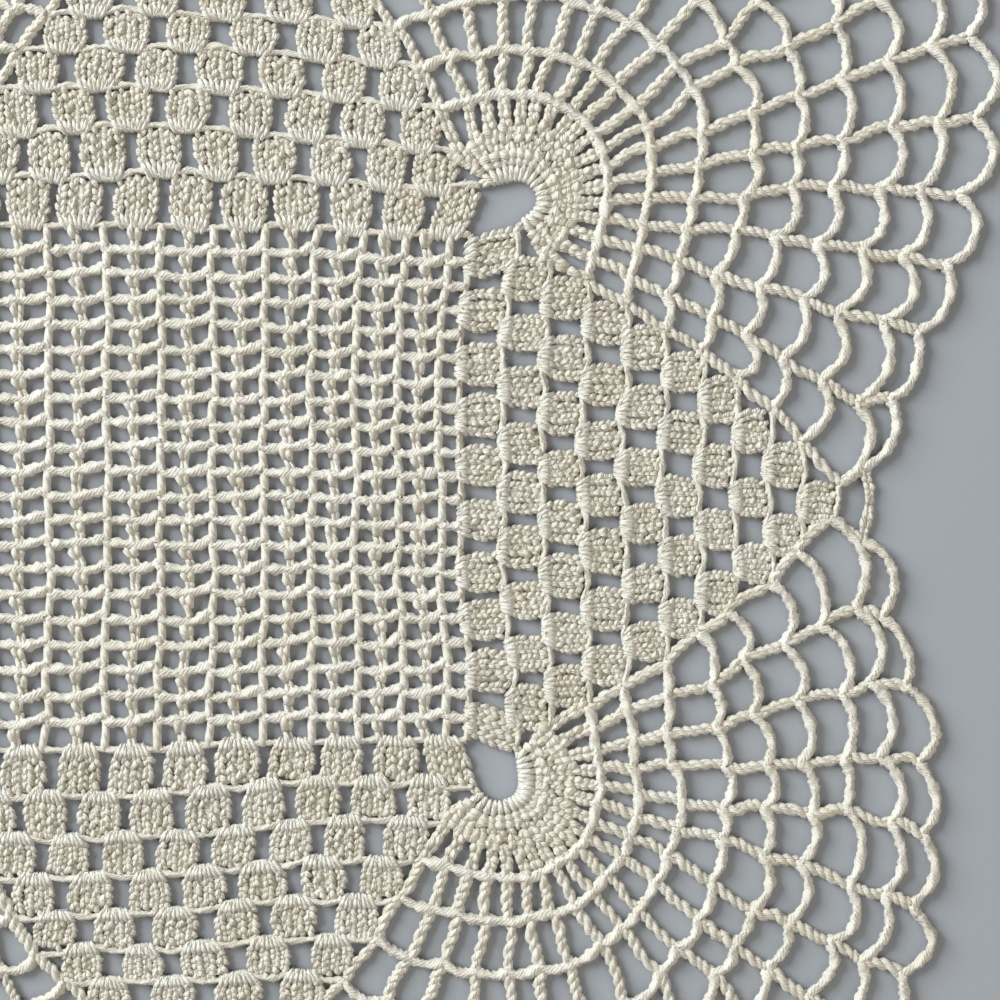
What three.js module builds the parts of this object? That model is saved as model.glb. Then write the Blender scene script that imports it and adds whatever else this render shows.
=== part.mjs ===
// A crochet doily of about 30 cm, lying flat: one openwork sheet with a square net in the middle,
// a triangle of treble blocks on each side of the net and a fan of open mesh around each corner.
// Seen from above, side 0 and corner 0 lie towards +X and towards +X +Y, the others follow at
// quarter turns. The underside is the plane z = 0 and the doily's middle is the origin.

import * as THREE from 'three';

// Driving sizes, in millimetres, with angles in degrees
const SHEET_THICKNESS = 2.2;
const STRAND_WIDTH = 2.3;

// Eyelets at the net's corners, measured from the doily's middle along x and along y
const EYELET_OFFSET = 57.4;
const EYELET_RADIUS = 5.9;
const EYELET_STEPS = 20;

// Eighteen spokes of a fan are counted from the diagonal, the nearest half a count from it, and spread a
// little towards the sides; the last ones bend over to the ends of the block rows
const LAST_SPOKE = 8.5;
const FIRST_BENT_SPOKE = 5;
const SPOKE_STEP = 8.3;
const SPOKE_SPREAD = 0.15;

// How each fan is drawn out beyond its mean radii: all round, along the diagonal, and towards one side;
// less so in the rounds before the first that is fully stretched
const FAN_STRETCHES = [
  { corner: 'right back', all: 0.05, diagonal: 0.075, skew: 0.09 },
  { corner: 'left back', all: 0.04, diagonal: 0.06, skew: 0.02 },
  { corner: 'left front', all: 0.05, diagonal: 0.06, skew: 0.08 },
  { corner: 'right front', all: -0.02, diagonal: 0.025, skew: -0.07 },
];
const FAN_STRETCH_WAVES = 2.8;
const FULLY_STRETCHED_ROUND = 5;

// Chain rounds that bound the cut meshes, as mean radius about the eyelet and outward bow of the chain
// arcs between spokes; every second round is kept, and every second spoke
const FAN_ROUNDS = [
  { round: 3, radius: 21.0, bow: 0.0 },
  { round: 5, radius: 38.4, bow: 0.8 },
  { round: 7, radius: 58.0, bow: 2.0 },
  { round: 9, radius: 76.0, bow: 2.4 },
  { round: 11, radius: 93.0, bow: 2.4 },
];
const MESH_SPOKES = [-8.5, -6.5, -4.5, -2.5, -0.5, 0.5, 2.5, 4.5, 6.5, 8.5];
const MESH_ARC_STEPS = 2;
const EDGE_ARC_STEPS = 4;
const VALLEY_BULGE = 1.0;
const VALLEY_HALF_WIDTH = 7.0;

// Block rows: the middle of a row from the doily's middle, and the pitch of blocks along it
const BLOCK_ROWS = 10;
const FIRST_CUT_ROW = 3;
const FIRST_ROW_DISTANCE = 55.2;
const ROW_STEP = 8.4;
const ROW_EASING = 0.13;
const FIRST_BLOCK_PITCH = 10.6;
const BLOCK_PITCH_STEP = 0.25;
const BLOCK_PITCH_GROWTH = 0.02;
const BLOCK_WIDTH = 7.0;
const BLOCK_HALF_REACH = 4.0;
const BLOCK_CROWN = 0.5;
const GAP_LENGTH = 5.2;

// How the cloth lies: each side let out or drawn in about a distance and over a length, and shifted,
// slanted and stretched along itself a little, and the rounds leaning one way
const SIDES = [
  { side: 'right', distance: 60, length: 40, pull: -2.6, shift: -1.1, slant: -0.03, stretch: -0.03 },
  { side: 'back', distance: 80, length: 30, pull: 4.5, shift: 0, slant: 0.05, stretch: 0.08 },
  { side: 'left', distance: 80, length: 30, pull: 1.0, shift: 0, slant: 0, stretch: 0 },
  { side: 'front', distance: 75, length: 30, pull: 0.9, shift: -1.6, slant: -0.1, stretch: 0 },
];
const PULL_WIDTH = 50;
const LEAN_AT_REFERENCE = 0.8;
const LEAN_REFERENCE = 100;

const COTTON = { color: 0xdad5c4, roughness: 0.92, metalness: 0 };

const radians = THREE.MathUtils.degToRad;

// Point turned about the doily's middle by a number of quarter turns
function quarterTurn(point, quarter) {
  return point.clone().rotateAround(new THREE.Vector2(0, 0), quarter * Math.PI / 2);
}

// Point moved to where it lies in the hand-made cloth
function asLaid(point) {
  const laid = point.clone();
  SIDES.forEach(({ distance, length, pull, shift, slant, stretch }, quarter) => {
    const outward = quarterTurn(new THREE.Vector2(1, 0), quarter);
    const sideways = quarterTurn(outward, 1);
    const across = point.dot(sideways);
    const along = (point.dot(outward) - distance) / length;
    const nearness = Math.exp(-(along ** 2) - (across / PULL_WIDTH) ** 2);
    laid.addScaledVector(outward, nearness * (pull + slant * across));
    laid.addScaledVector(sideways, nearness * (shift + stretch * across));
  });
  const lean = radians(LEAN_AT_REFERENCE) * (laid.length() / LEAN_REFERENCE) ** 2;
  return laid.rotateAround(new THREE.Vector2(0, 0), -lean);
}

// Angle of a spoke from the fan's diagonal
function spokeAngle(spoke) {
  return radians(SPOKE_STEP * spoke + SPOKE_SPREAD * spoke * Math.abs(spoke));
}

// Middle of a block row from the doily's middle; a half gives the edge between two rows
function rowDistance(row) {
  const rowsOut = row - 1;
  return FIRST_ROW_DISTANCE + ROW_STEP * rowsOut - ROW_EASING * rowsOut ** 2;
}

// Pitch of the blocks along a row
function blockPitch(row) {
  const rowsOut = row - 1;
  return FIRST_BLOCK_PITCH + BLOCK_PITCH_STEP * rowsOut + BLOCK_PITCH_GROWTH * rowsOut ** 2;
}

// End of a row's outer edge on side 0, or of the valley's chain beyond the last row
function rowEnd(row) {
  const halfLength = row > BLOCK_ROWS
    ? VALLEY_HALF_WIDTH
    : (BLOCK_ROWS - row) / 2 * blockPitch(row) + BLOCK_HALF_REACH;
  return new THREE.Vector2(rowDistance(row + 0.5), halfLength);
}

// Point about corner 0's eyelet: a fan's stretch, a round, a spoke count, and a step outwards
function polarPoint({ all, diagonal, skew }, { round, radius }, spoke, outwards) {
  const angle = spokeAngle(spoke);
  const onset = Math.min(1, (round - 1) / (FULLY_STRETCHED_ROUND - 1));
  const stretch = all + diagonal * Math.cos(FAN_STRETCH_WAVES * angle) + skew * Math.sin(angle);
  const reach = radius * (1 + onset * stretch) + outwards;
  const heading = Math.PI / 4 + angle;
  return new THREE.Vector2(
    EYELET_OFFSET + reach * Math.cos(heading),
    EYELET_OFFSET + reach * Math.sin(heading),
  );
}

// Point of a fan turned to corner 0, on a round's bowed chain or a step outwards from it, and bent
// towards the row ends near the fan's sides
function fanPoint(fan, fanRound, spoke, outwards) {
  const arcBow = fanRound.bow * Math.cos(Math.PI * spoke) ** 2;
  const beyond = Math.max(0, Math.abs(spoke) - FIRST_BENT_SPOKE);
  const bend = (beyond / (LAST_SPOKE - FIRST_BENT_SPOKE)) ** 2;
  const end = rowEnd(fanRound.round);
  const target = spoke < 0 ? end : new THREE.Vector2(end.y, end.x);
  const miss = target.sub(polarPoint(fan, fanRound, Math.sign(spoke) * LAST_SPOKE, 0));
  return polarPoint(fan, fanRound, spoke, outwards + arcBow).addScaledVector(miss, bend);
}

// Edge of a mesh opening along a round from one spoke to another, half a strand inside both of them
function meshEdge(fan, fanRound, firstSpoke, lastSpoke, outwards) {
  const spokes = lastSpoke - firstSpoke;
  const width = fanRound.radius * (spokeAngle(lastSpoke) - spokeAngle(firstSpoke));
  const inset = spokes * STRAND_WIDTH / 2 / width;
  const steps = spokes * MESH_ARC_STEPS;
  return Array.from({ length: steps + 1 }, (_, step) => {
    const spoke = firstSpoke + inset + step / steps * (spokes - 2 * inset);
    return fanPoint(fan, fanRound, spoke, outwards);
  });
}

// Mesh opening of a fan between a round, the one before it, a spoke and the one before it
function fanMesh(fan, band, gap) {
  const half = STRAND_WIDTH / 2;
  const spokes = [MESH_SPOKES[gap - 1], MESH_SPOKES[gap]];
  return [
    ...meshEdge(fan, FAN_ROUNDS[band], ...spokes, -half),
    ...meshEdge(fan, FAN_ROUNDS[band - 1], ...spokes, half).reverse(),
  ];
}

// All mesh openings of a fan turned to corner 0
function fanMeshes(fan) {
  const meshes = [];
  for (let band = 1; band < FAN_ROUNDS.length; band += 1) {
    for (let gap = 1; gap < MESH_SPOKES.length; gap += 1) {
      meshes.push(fanMesh(fan, band, gap));
    }
  }
  return meshes;
}

// Eyelet of corner 0
function eyelet() {
  return Array.from({ length: EYELET_STEPS }, (_, step) => {
    const angle = step / EYELET_STEPS * Math.PI * 2;
    return new THREE.Vector2(
      EYELET_OFFSET + EYELET_RADIUS * Math.cos(angle),
      EYELET_OFFSET + EYELET_RADIUS * Math.sin(angle),
    );
  });
}

// Gap between two neighbouring blocks on side 0, waisted by the blocks' round flanks
function blockGap(distance, across, width) {
  const end = GAP_LENGTH / 2;
  const corner = width / 2;
  const waist = corner - BLOCK_CROWN;
  return [
    new THREE.Vector2(distance - end, across - corner),
    new THREE.Vector2(distance, across - waist),
    new THREE.Vector2(distance + end, across - corner),
    new THREE.Vector2(distance + end, across + corner),
    new THREE.Vector2(distance, across + waist),
    new THREE.Vector2(distance - end, across + corner),
  ];
}

// All gaps between the blocks of side 0, row by row; each row has one block less than the row before
function blockGaps() {
  const gaps = [];
  for (let row = FIRST_CUT_ROW; row < BLOCK_ROWS; row += 1) {
    const pitch = blockPitch(row);
    const gapCount = BLOCK_ROWS - row;
    for (let gap = 0; gap < gapCount; gap += 1) {
      const across = (gap - (gapCount - 1) / 2) * pitch;
      gaps.push(blockGap(rowDistance(row), across, pitch - BLOCK_WIDTH));
    }
  }
  return gaps;
}

// Outer edge of one quarter: the last round's chain arcs, then the chain over the valley to the next fan
function quarterEdge(fan) {
  const half = STRAND_WIDTH / 2;
  const lastRound = FAN_ROUNDS[FAN_ROUNDS.length - 1];
  const points = [];
  const lastStep = LAST_SPOKE * EDGE_ARC_STEPS;
  for (let step = -lastStep; step <= lastStep; step += 1) {
    points.push(fanPoint(fan, lastRound, step / EDGE_ARC_STEPS, half));
  }
  const lastPoint = points[points.length - 1];
  points.push(new THREE.Vector2(0, lastPoint.y + VALLEY_BULGE));
  return points;
}

// Outlines that belong to a fan and to the side before it, laid out in every quarter
function inEveryQuarter(outlinesOf) {
  return FAN_STRETCHES.flatMap((fan, quarter) => (
    outlinesOf(fan).map((points) => points.map((point) => asLaid(quarterTurn(point, quarter))))
  ));
}

function doilyGeometry() {
  const edges = inEveryQuarter((fan) => [quarterEdge(fan)]);
  const openings = inEveryQuarter((fan) => [eyelet(), ...fanMeshes(fan), ...blockGaps()]);
  const sheet = new THREE.Shape(edges.flat());
  sheet.holes = openings.map((points) => new THREE.Path(points));
  return new THREE.ExtrudeGeometry(sheet, { depth: SHEET_THICKNESS, bevelEnabled: false });
}

const doily = new THREE.Mesh(doilyGeometry(), new THREE.MeshStandardMaterial(COTTON));
doily.name = 'doily';

const crochetDoily = new THREE.Group();
crochetDoily.add(doily);

export default crochetDoily;
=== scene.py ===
# %% [markdown]
# # A crochet doily, stitch by stitch
# The doily is one cotton thread, worked from the middle outwards: a square filet net, a triangle of
# treble blocks on each side of it, and a fan of open mesh around an eyelet at each corner. A flat
# picture of lace on a plane would look right from one angle only, so every stitch here is a real
# piece of thread, swept as a tube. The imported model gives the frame, and all sizes are its sizes.

# %% The fixed frame
import math

import bpy
import numpy as np
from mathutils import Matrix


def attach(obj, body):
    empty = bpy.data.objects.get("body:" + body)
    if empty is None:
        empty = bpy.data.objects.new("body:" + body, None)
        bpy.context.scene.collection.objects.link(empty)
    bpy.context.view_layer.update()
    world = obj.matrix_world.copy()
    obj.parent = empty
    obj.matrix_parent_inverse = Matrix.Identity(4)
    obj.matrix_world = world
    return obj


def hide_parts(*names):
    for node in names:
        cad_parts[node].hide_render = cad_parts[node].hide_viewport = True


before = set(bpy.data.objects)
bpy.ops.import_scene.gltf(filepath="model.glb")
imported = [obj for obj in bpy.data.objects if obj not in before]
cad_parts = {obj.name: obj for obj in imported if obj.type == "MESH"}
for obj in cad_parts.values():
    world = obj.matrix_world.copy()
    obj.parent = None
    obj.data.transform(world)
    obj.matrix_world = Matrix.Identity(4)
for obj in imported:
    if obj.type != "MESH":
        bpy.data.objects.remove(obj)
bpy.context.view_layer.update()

# %% [markdown]
# ## The plan of the doily
# A crocheter follows a chart: how many blocks in each row, how far each round reaches. The chart here
# is a handful of formulas in millimetres. Side 0 faces +X and corner 0 lies towards +X +Y, and the
# other sides and corners are quarter turns of them. Formulas keep the stitches of neighbouring parts
# meeting each other, which points placed one by one would not.

# %% Sizes of the chart
MM = 0.001
QUARTERS = 4

BLOCK_ROWS = 10
FIRST_ROW_DISTANCE = 55.2
ROW_STEP = 8.4
ROW_EASING = 0.13
FIRST_BLOCK_PITCH = 10.6
BLOCK_PITCH_STEP = 0.25
BLOCK_PITCH_GROWTH = 0.02
BLOCK_HALF_WIDTH = 4.0
VALLEY_HALF_WIDTH = 7.0
LAST_ROUND = 11


def row_distance(row):
    """Middle of a block row from the doily's middle: the first distance, plus a step for each row,
    less an easing that grows with the square of the rows."""
    rows_out = row - 1
    return FIRST_ROW_DISTANCE + ROW_STEP * rows_out - ROW_EASING * rows_out**2


def row_edge(row):
    """Outer edge of a row, where its chain runs: halfway to the next row."""
    return row_distance(row + 0.5)


def block_pitch(row):
    """Pitch of the blocks along a row, which grows outwards with the rows and their square."""
    rows_out = row - 1
    return FIRST_BLOCK_PITCH + BLOCK_PITCH_STEP * rows_out + BLOCK_PITCH_GROWTH * rows_out**2


def row_half_length(row):
    """Half the length of a row: half the pitches from its first block to its last, plus half a block, or
    half the chain over the valley in the last round."""
    if row > BLOCK_ROWS:
        return VALLEY_HALF_WIDTH
    return (BLOCK_ROWS - row) / 2 * block_pitch(row) + BLOCK_HALF_WIDTH


print("row edges in mm:", [round(row_edge(row), 1) for row in range(1, LAST_ROUND + 1)])

# %% Where the fans' spokes and rounds cross
EYELET_OFFSET = 57.4
EYELET_RADIUS = 6.4
EYELET_STRETCH = 0.13
SPOKE_COUNT = 18
SPOKES = np.arange(SPOKE_COUNT) - (SPOKE_COUNT - 1) / 2
SPOKE_STEP = 8.3
SPOKE_SPREAD = 0.15
FIRST_BENT_SPOKE = 5.0
FAN_STRETCH_WAVES = 2.8
STRETCHED_ROUND = 4
# mean radius of each fan round about its eyelet, from round 1, the eyelet's rim
FAN_RADII = np.array([EYELET_RADIUS, 15.4, 21.0, 29.2, 38.4, 48.6, 58.0, 67.0, 76.0, 84.8, 93.0])


def spoke_angle(spoke):
    """Angle of a spoke from the corner's diagonal, in radians: even steps that widen to the sides."""
    return np.radians(SPOKE_STEP * spoke + SPOKE_SPREAD * spoke * np.abs(spoke))


def eyelet_reach(heading, long_heading):
    """Distance of the rim from the eyelet's middle: longest along one heading and shortest across it."""
    return EYELET_RADIUS * (1 + EYELET_STRETCH * np.cos(2 * (heading - long_heading)))


def fan_crossings(mean, diagonal, skew, eyelet_heading):
    """Crossings of corner 0 as rounds x spokes x 2: a polar net about the eyelet, stretched along
    the diagonal by a cosine and to one side by a sine, more with each round at first. The spokes from
    the first bent one on move to the block rows' ends, by the square of their share of the way."""
    angle = spoke_angle(SPOKES)
    stretch = mean - 1 + diagonal * np.cos(FAN_STRETCH_WAVES * angle) + skew * np.sin(angle)
    onset = np.clip(np.arange(LAST_ROUND) / STRETCHED_ROUND, 0, 1)[:, None]
    reach = FAN_RADII[:, None] * (1 + onset * stretch)
    heading = math.pi / 4 + angle
    reach[0] = eyelet_reach(heading, eyelet_heading)
    net = EYELET_OFFSET + np.stack([reach * np.cos(heading), reach * np.sin(heading)], axis=-1)
    rows = range(2, LAST_ROUND + 1)
    ends = np.array([[row_edge(row), row_half_length(row)] for row in rows])
    bend = np.clip((np.abs(SPOKES) - FIRST_BENT_SPOKE) / (SPOKES[-1] - FIRST_BENT_SPOKE), 0, 1) ** 2
    first_miss = ends - net[1:, 0]
    last_miss = ends[:, ::-1] - net[1:, -1]
    miss = np.where((SPOKES < 0)[None, :, None], first_miss[:, None], last_miss[:, None])
    net[1:] += bend[None, :, None] * miss
    return net


def turned(points, quarter):
    """Flat points turned about the middle by quarter turns: (x, y) becomes (-y, x) at each."""
    for _ in range(quarter):
        points = np.stack([-points[..., 1], points[..., 0]], axis=-1)
    return points


widest = math.degrees(spoke_angle(SPOKES[-1]))
print("a fan's last spoke is", round(widest, 1), "degrees from the diagonal")

# %% Crossings of all four fans
# mean, diagonal and sideways stretch of each fan, and the heading of its eyelet's long way
FAN_STRETCHES = (
    (1.05, 0.075, 0.09, math.radians(25)),
    (1.04, 0.06, 0.02, math.radians(50)),
    (1.05, 0.06, 0.08, math.radians(60)),
    (0.98, 0.025, -0.07, math.radians(5)),
)
HAND_SEED = 1931
CROSSING_SPREAD = 0.65
EVEN_ROUNDS = 2
ROUNDS_TO_FULL_SPREAD = 4
hand = np.random.default_rng(HAND_SEED)
crossings = np.stack([turned(fan_crossings(*fan), quarter) for quarter, fan in enumerate(FAN_STRETCHES)])
rounds = np.arange(1, LAST_ROUND + 1)
unevenness = np.clip((rounds - EVEN_ROUNDS) / ROUNDS_TO_FULL_SPREAD, 0, 1)
crossings += CROSSING_SPREAD * unevenness[None, :, None, None] * hand.normal(size=crossings.shape)
print("fan crossings:", crossings.shape[0] * crossings.shape[1] * crossings.shape[2])

# %% [markdown]
# ## How the cloth lies
# Real lace is never true to its chart. Each side is drawn in or let out a little, the rounds lean one
# way because the thread always comes from one hand, and every stitch wanders. The first two are the
# same formulas as in the solid model; the wandering is a sum of a few slow waves. Moving every point
# of every thread by these fields keeps the stitches joined while no two cells stay alike.

# %% From the chart to the laid cloth
# for each side the distance and length, in mm, over which it is let out and shifted along itself, how
# far in mm, and how much it slants and stretches
SIDES = (
    (60.0, 40.0, -2.6, -1.1, -0.03, -0.03),
    (80.0, 30.0, 4.5, 0.0, 0.05, 0.08),
    (80.0, 30.0, 1.0, 0.0, 0.0, 0.0),
    (75.0, 30.0, 0.9, -1.6, -0.1, 0.0),
)
PULL_WIDTH = 50.0
LEAN_AT_REFERENCE = math.radians(0.8)
LEAN_REFERENCE = 100.0
WANDER_WAVES = 10
WANDER_SIZE = 0.13
WANDER_SHORTEST = 9.0
WANDER_LONGEST = 45.0
wander_lengths = hand.uniform(WANDER_SHORTEST, WANDER_LONGEST, WANDER_WAVES)
wander_headings = hand.uniform(0.0, math.tau, WANDER_WAVES)
wander_phases = hand.uniform(0.0, math.tau, (WANDER_WAVES, 2))


def as_laid(points):
    """Chart points moved to where they lie: each side's pull, shift, slant and stretch fade as a bell
    curve along and across the side. Then everything turns about the middle by an angle that grows with
    the square of the radius, and a sum of slow sine waves adds the hand's wandering."""
    flat = points[..., :2]
    laid = flat.copy()
    for quarter, (distance, length, pull, shift, slant, stretch) in enumerate(SIDES):
        outward = turned(np.array([1.0, 0.0]), quarter)
        sideways = turned(outward, 1)
        along = flat @ outward
        across = flat @ sideways
        bell = np.exp(-((along - distance) / length) ** 2 - (across / PULL_WIDTH) ** 2)
        laid += (bell * (pull + slant * across))[..., None] * outward
        laid += (bell * (shift + stretch * across))[..., None] * sideways
    lean = -LEAN_AT_REFERENCE * (laid**2).sum(axis=-1) / LEAN_REFERENCE**2
    x = laid[..., 0] * np.cos(lean) - laid[..., 1] * np.sin(lean)
    y = laid[..., 0] * np.sin(lean) + laid[..., 1] * np.cos(lean)
    for length, heading, phases in zip(wander_lengths, wander_headings, wander_phases):
        wave = (x * math.cos(heading) + y * math.sin(heading)) * math.tau / length
        x = x + WANDER_SIZE * np.sin(wave + phases[0])
        y = y + WANDER_SIZE * np.sin(wave + phases[1])
    return np.concatenate([np.stack([x, y], axis=-1), points[..., 2:]], axis=-1)


farthest = np.linalg.norm(as_laid(crossings) - crossings, axis=-1).max()
print("farthest that a crossing lies from the chart:", round(float(farthest), 1), "mm")

# %% [markdown]
# ## Thread
# A thread is a round section carried along a path. Blender's curves with a bevel would do the same,
# but thousands of them are slow to make and to turn into meshes. Here one numpy function sweeps all
# threads of a kind at once: it finds the tangent at each path point, makes the other two directions
# from a reference that never lies along the thread, and sets a ring of points there. Each thread is
# closed by a cap at both ends, and keeps its running length and its turn as UV for the plies' twist.

# %% Sweeping threads
SECTION_SIDES = 5
HIGHEST = 2.2
LEAST_LENGTH = 1e-9
FARTHEST_RUN_START = 50.0


def unit(vectors):
    """Vectors divided by their length."""
    return vectors / np.maximum(np.linalg.norm(vectors, axis=-1, keepdims=True), LEAST_LENGTH)


def sweep(paths, reference, tone, radius, aspect=1.0):
    """Threads along paths (threads x points x 3, in mm). A ring at each point is the point plus the
    radius times cos and sin of the section's angles, on the reference made square to the tangent and
    on the direction square to both; the aspect widens it along the reference. The table below and the
    cloth's full height press it flat. The run along each thread starts anywhere, so that the plies of
    neighbours don't line up. Returns the points, faces, corner UVs and tones of the threads."""
    paths = as_laid(paths)
    threads, steps, _ = paths.shape
    tangent = unit(np.gradient(paths, axis=1))
    reference = np.broadcast_to(reference, paths.shape)
    side = unit(reference - (reference * tangent).sum(axis=-1, keepdims=True) * tangent)
    lift = np.cross(tangent, side)
    turn = np.arange(SECTION_SIDES) / SECTION_SIDES
    cosines = aspect * np.cos(math.tau * turn)[:, None]
    sines = np.sin(math.tau * turn)[:, None]
    radius = np.broadcast_to(radius, (threads, steps))[:, :, None, None]
    rings = paths[:, :, None] + radius * (cosines * side[:, :, None] + sines * lift[:, :, None])
    rings[..., 2] = np.clip(rings[..., 2], 0.0, HIGHEST)
    run = np.zeros((threads, steps))
    run[:, 1:] = np.linalg.norm(np.diff(paths, axis=1), axis=-1).cumsum(axis=1)
    run += hand.uniform(0.0, FARTHEST_RUN_START, (threads, 1))

    index = np.arange(threads * steps * SECTION_SIDES).reshape(threads, steps, SECTION_SIDES)
    beside = np.roll(index, -1, axis=2)
    walls = np.stack([index[:, :-1], beside[:, :-1], beside[:, 1:], index[:, 1:]], axis=-1)
    u_from = np.broadcast_to(run[:, :-1, None], walls.shape[:-1])
    u_to = np.broadcast_to(run[:, 1:, None], walls.shape[:-1])
    v_from = np.broadcast_to(turn, walls.shape[:-1])
    v_to = v_from + 1 / SECTION_SIDES
    wall_u = np.stack([u_from, u_from, u_to, u_to], axis=-1)
    wall_v = np.stack([v_from, v_to, v_to, v_from], axis=-1)
    caps = np.concatenate([index[:, 0, ::-1], index[:, -1]])
    cap_u = np.repeat(np.concatenate([run[:, 0], run[:, -1]]), SECTION_SIDES)
    cap_v = np.tile(turn, 2 * threads)
    tone = np.broadcast_to(tone, (threads, steps))[:, :, None]
    return {
        "points": rings.reshape(-1, 3),
        "walls": walls.reshape(-1, 4),
        "wall_uv": np.stack([wall_u, wall_v], axis=-1).reshape(-1, 2),
        "caps": caps,
        "cap_uv": np.stack([cap_u, cap_v], axis=-1),
        "tone": np.broadcast_to(tone, rings.shape[:3]).reshape(-1),
    }


step_triangles = 2 * SECTION_SIDES
cap_triangles = SECTION_SIDES - 2
print("a lump of three rings has", 2 * step_triangles + 2 * cap_triangles, "triangles")

# %% One mesh from many threads
def thread_piece(name, bundles):
    """A mesh object that joins bundles of swept threads, with their UV map and tone attribute."""
    offsets = np.cumsum([0] + [len(bundle["points"]) for bundle in bundles])
    points = np.concatenate([bundle["points"] for bundle in bundles]) * MM
    walls = np.concatenate([b["walls"] + start for b, start in zip(bundles, offsets)])
    caps = np.concatenate([b["caps"] + start for b, start in zip(bundles, offsets)])
    uv = np.concatenate([b["wall_uv"] for b in bundles] + [b["cap_uv"] for b in bundles])
    corners = np.concatenate([walls.reshape(-1), caps.reshape(-1)])
    wall_starts = np.arange(len(walls)) * 4
    cap_starts = walls.size + np.arange(len(caps)) * SECTION_SIDES
    mesh = bpy.data.meshes.new(name)
    mesh.vertices.add(len(points))
    mesh.vertices.foreach_set("co", points.reshape(-1))
    mesh.loops.add(len(corners))
    mesh.loops.foreach_set("vertex_index", corners)
    mesh.polygons.add(len(walls) + len(caps))
    mesh.polygons.foreach_set("loop_start", np.concatenate([wall_starts, cap_starts]))
    mesh.update(calc_edges=True)
    mesh.polygons.foreach_set("use_smooth", np.ones(len(mesh.polygons), dtype=bool))
    mesh.uv_layers.new(name="thread").uv.foreach_set("vector", uv.reshape(-1))
    tone = mesh.attributes.new("tone", "FLOAT", "POINT")
    tone.data.foreach_set("value", np.concatenate([b["tone"] for b in bundles]))
    piece = bpy.data.objects.new(name, mesh)
    bpy.context.collection.objects.link(piece)
    triangles = 2 * len(walls) + cap_triangles * len(caps)
    print(name, "has", triangles, "triangles")
    return piece


# %% [markdown]
# ## Stitches
# Almost all crochet is one move: a loop drawn through the loop before it. Seen from above, a row of
# such loops is a tight herringbone: short lumps that slant to the left and right, each of which dives
# under the next. Only those visible lumps are made here, each a short piece of thread, thick in the
# middle and sunk at both ends; a whole thread would spend most of its faces where nobody can look. A
# tall post of the fans looks like a thick rope, so a second function twists two threads about a path.
# A chain that is drawn tight, as in the net, closes up into one uneven cord, so a third function makes
# a single thread with a section that is wider one way and turns along the path.

# %% Shapes of the lumps
# along in stitches, aside, height and radius in mm, and painted shading of a lump from its start to its
# end:
# darker at the sunk ends as painted shade in the creases, lighter on the crest as a painted highlight;
# in a chain it bends back to the edge, in close trebles it reaches over to the next, and a single one
# crosses
ALONG, ASIDE, HEIGHT, RADIUS, PAINTED_SHADING = range(5)
CHAIN_LUMP = np.array(
    [
        (-0.10, 0.22, 0.90, 0.50, -0.20),
        (0.46, 0.46, 1.20, 0.57, 0.10),
        (1.08, 0.38, 0.88, 0.50, -0.25),
    ]
)
TREBLE_LUMP = np.array(
    [
        (-0.07, 0.04, 0.86, 0.45, -0.25),
        (0.47, 0.46, 1.24, 0.59, 0.10),
        (1.01, 0.82, 0.86, 0.45, -0.30),
    ]
)
SINGLE_LUMP = np.array(
    [
        (-0.10, -0.22, 0.95, 0.82, -0.12),
        (0.50, 0.0, 1.05, 0.90, 0.06),
        (1.10, 0.22, 0.95, 0.82, -0.12),
    ]
)
for name, lump in (("chain", CHAIN_LUMP), ("treble", TREBLE_LUMP), ("single", SINGLE_LUMP)):
    print(name, "lump: radius from", lump[:, RADIUS].min(), "to", lump[:, RADIUS].max(), "mm")

# %% Herringbone of lumps
BOTH_SIDES = (-1.0, 1.0)
ONE_SIDE = (1.0,)
PLAIT_MIDDLE = 0.95
LUMP_SPREAD = 0.11
LUMP_FLATNESS = 0.82
ROLL_SPREAD = 0.12
UPWARDS = np.array([0.0, 0.0, 1.0])
TONE_SPREAD = 0.07


def tones(mean, count):
    """A tone for each thread, scattered about a mean: 0 is creamiest, 1 is whitest."""
    return mean + TONE_SPREAD * hand.normal(size=(count, 1))


def plaits(
    paths, stitches, lump, sides, tone, size, roll=0.0, roll_spread=ROLL_SPREAD, lift=0.0, stagger=0.0
):
    """Lumps on one or both sides along flat paths (paths x points x 2, evenly spaced): a lump's points
    are set at their share of the path, moved aside square to it, rolled about the plait's middle and
    kept within the thickness of the cloth. The size scales each stitch, and the stagger sets paths and
    their two sides out of step."""
    last = paths.shape[1] - 1
    path = np.arange(len(paths))[:, None, None]
    size = np.broadcast_to(size, (len(paths), stitches))[..., None]
    roll = roll + roll_spread * hand.normal(size=(len(paths), stitches, 1))
    start = stagger * hand.uniform(-1.0, 1.0, (len(paths), 1, 1))
    lumps, radii = [], []
    for side in sides:
        own, slide = LUMP_SPREAD * hand.normal(size=(2, len(paths), stitches, 1))
        along = np.arange(stitches)[:, None] + lump[:, ALONG] + slide + start + side * stagger / 2
        along = along / stitches * last
        step = np.clip(along.astype(int), 0, last - 1)
        heading = paths[path, step + 1] - paths[path, step]
        middle = paths[path, step] + (along - step)[..., None] * heading
        swell = size * (1.0 + own)
        aside = side * swell * lump[:, ASIDE]
        height = swell * (lump[:, HEIGHT] - PLAIT_MIDDLE)
        radius = swell * lump[:, RADIUS]
        offset = aside * np.cos(roll) - height * np.sin(roll)
        level = PLAIT_MIDDLE + lift + aside * np.sin(roll) + height * np.cos(roll)
        level = np.clip(level, LUMP_FLATNESS * radius, HIGHEST - LUMP_FLATNESS * radius)
        flat = middle + offset[..., None] * unit(turned(heading, 1))
        lumps.append(np.concatenate([flat, level[..., None]], axis=-1).reshape(-1, len(lump), 3))
        radii.append(radius.reshape(-1, len(lump)))
    lumps = np.concatenate(lumps)
    # each lump's last column is painted light: painted shade darkens its sunk ends, a painted highlight
    # lightens its crest
    tone = tones(tone, len(lumps)) + lump[:, PAINTED_SHADING]
    return sweep(lumps, UPWARDS, tone, np.concatenate(radii), LUMP_FLATNESS)


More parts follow.
